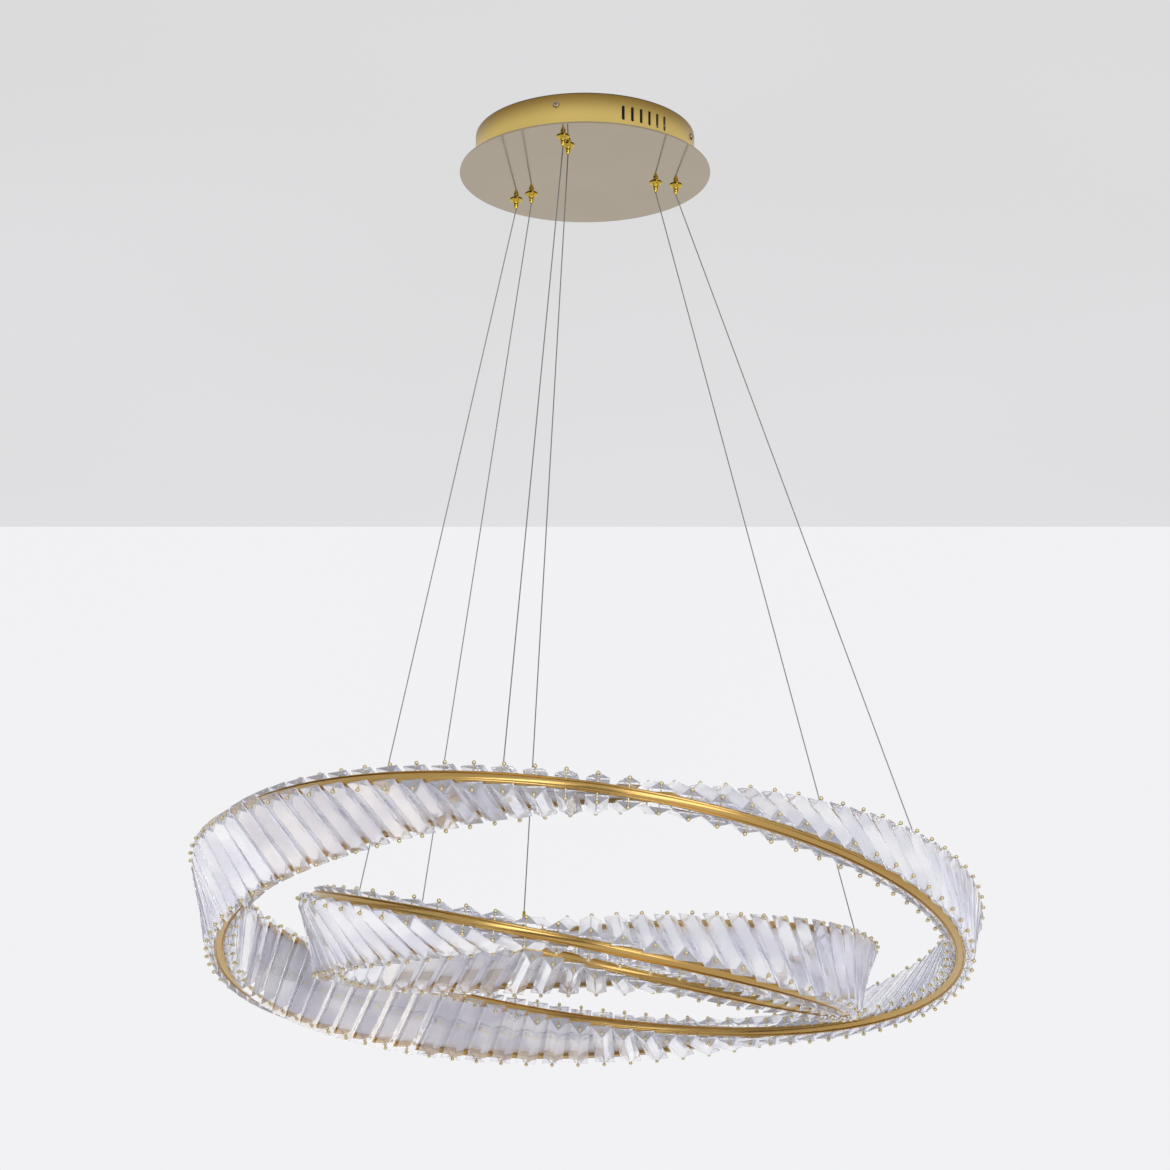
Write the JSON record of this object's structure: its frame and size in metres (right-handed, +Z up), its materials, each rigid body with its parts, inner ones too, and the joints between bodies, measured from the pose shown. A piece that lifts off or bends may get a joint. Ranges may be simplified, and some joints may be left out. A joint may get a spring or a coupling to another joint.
{
  "type": "ring chandelier",
  "caption": "Chandelier of nested twisted rings set with clear faceted bars, hung on thin wires from a round ceiling canopy.",
  "frame": {"origin": "centre of the ceiling bracket's upper face, on the ceiling", "axes": "+Z up, +Y away from the viewer, +X to the viewer's right"},
  "size_m": [0.8087, 0.8437, 0.9871],
  "materials": {
    "polished_plate": "mirror-polished champagne steel",
    "brushed_gold": "brushed gold",
    "gold_screws": "polished",
    "zinc_steel": "zinc plated",
    "gripper_gold": "polished gold",
    "wire_steel": "stranded steel",
    "spring_steel": "drawn wire",
    "driver_plastic": "moulded",
    "board_green": "solder mask",
    "terminal_plastic": "moulded",
    "terminal_brass": "plain",
    "lead_rubber": "sleeved lead",
    "mounting_foam": "double-sided foam",
    "frame_gold": "polished gold anodising",
    "strip_white": "white solder mask",
    "led_phosphor": "unlit phosphor",
    "crystal": "clear, polished facets",
    "pin_gold": "polished",
    "anchor_gold": "polished"
  },
  "bodies": {
    "canopy": {"canopy_drum": "brushed_gold", "canopy_plate": "polished_plate", "canopy_side_screws": "gold_screws", "ceiling_bracket": "zinc_steel", "driver_boards": "board_green", "earth_screw": "zinc_steel", "gripper_locknuts": "zinc_steel", "inner_driver_case": "driver_plastic", "inner_driver_lid": "driver_plastic", "mounting_tapes": "mounting_foam", "outer_driver_case": "driver_plastic", "outer_driver_lid": "driver_plastic", "plate_nuts": "zinc_steel", "supply_leads": "lead_rubber", "terminal_block": "terminal_plastic", "terminal_screws": "terminal_brass", "wire_gripper_bodies": "gripper_gold", "wire_tails": "wire_steel"},
    "outer_ring": {"outer_crystals_a": "crystal", "outer_crystals_b": "crystal", "outer_frame": "frame_gold", "outer_led_chips": "led_phosphor", "outer_led_strips": "strip_white", "outer_pins": "pin_gold", "outer_wire_1": "wire_steel", "outer_wire_2": "wire_steel", "outer_wire_3": "wire_steel", "outer_wire_anchors": "anchor_gold"},
    "inner_ring": {"inner_crystals_a": "crystal", "inner_crystals_b": "crystal", "inner_frame": "frame_gold", "inner_led_chips": "led_phosphor", "inner_led_strips": "strip_white", "inner_pins": "pin_gold", "inner_wire_1": "wire_steel", "inner_wire_2": "wire_steel", "inner_wire_3": "wire_steel", "inner_wire_anchors": "anchor_gold"},
    "nozzle_outer_1": {"gripper_nozzle_outer_1": "gripper_gold", "gripper_spring_outer_1": "spring_steel"},
    "nozzle_outer_2": {"gripper_nozzle_outer_2": "gripper_gold", "gripper_spring_outer_2": "spring_steel"},
    "nozzle_outer_3": {"gripper_nozzle_outer_3": "gripper_gold", "gripper_spring_outer_3": "spring_steel"},
    "nozzle_inner_1": {"gripper_nozzle_inner_1": "gripper_gold", "gripper_spring_inner_1": "spring_steel"},
    "nozzle_inner_2": {"gripper_nozzle_inner_2": "gripper_gold", "gripper_spring_inner_2": "spring_steel"},
    "nozzle_inner_3": {"gripper_nozzle_inner_3": "gripper_gold", "gripper_spring_inner_3": "spring_steel"}
  },
  "joints": [
    {"name": "outer_ring_height", "type": "slide", "parent": "canopy", "child": "outer_ring", "axis": [0, 0, 1], "range_m": [-0.05, 0.2], "deforming": ["outer_wire_1", "outer_wire_2", "outer_wire_3"]},
    {"name": "inner_ring_height", "type": "slide", "parent": "canopy", "child": "inner_ring", "axis": [0, 0, 1], "range_m": [-0.1, 0.1], "deforming": ["inner_wire_1", "inner_wire_2", "inner_wire_3"]},
    {"name": "gripper_release_outer_1", "type": "slide", "parent": "canopy", "child": "nozzle_outer_1", "axis": [0, 0, 1], "range_m": [0, 0.0015], "stiffness_N_per_m": 400, "deforming": ["gripper_spring_outer_1"]},
    {"name": "gripper_release_outer_2", "type": "slide", "parent": "canopy", "child": "nozzle_outer_2", "axis": [0, 0, 1], "range_m": [0, 0.0015], "stiffness_N_per_m": 400, "deforming": ["gripper_spring_outer_2"]},
    {"name": "gripper_release_outer_3", "type": "slide", "parent": "canopy", "child": "nozzle_outer_3", "axis": [0, 0, 1], "range_m": [0, 0.0015], "stiffness_N_per_m": 400, "deforming": ["gripper_spring_outer_3"]},
    {"name": "gripper_release_inner_1", "type": "slide", "parent": "canopy", "child": "nozzle_inner_1", "axis": [0, 0, 1], "range_m": [0, 0.0015], "stiffness_N_per_m": 400, "deforming": ["gripper_spring_inner_1"]},
    {"name": "gripper_release_inner_2", "type": "slide", "parent": "canopy", "child": "nozzle_inner_2", "axis": [0, 0, 1], "range_m": [0, 0.0015], "stiffness_N_per_m": 400, "deforming": ["gripper_spring_inner_2"]},
    {"name": "gripper_release_inner_3", "type": "slide", "parent": "canopy", "child": "nozzle_inner_3", "axis": [0, 0, 1], "range_m": [0, 0.0015], "stiffness_N_per_m": 400, "deforming": ["gripper_spring_inner_3"]}
  ]
}
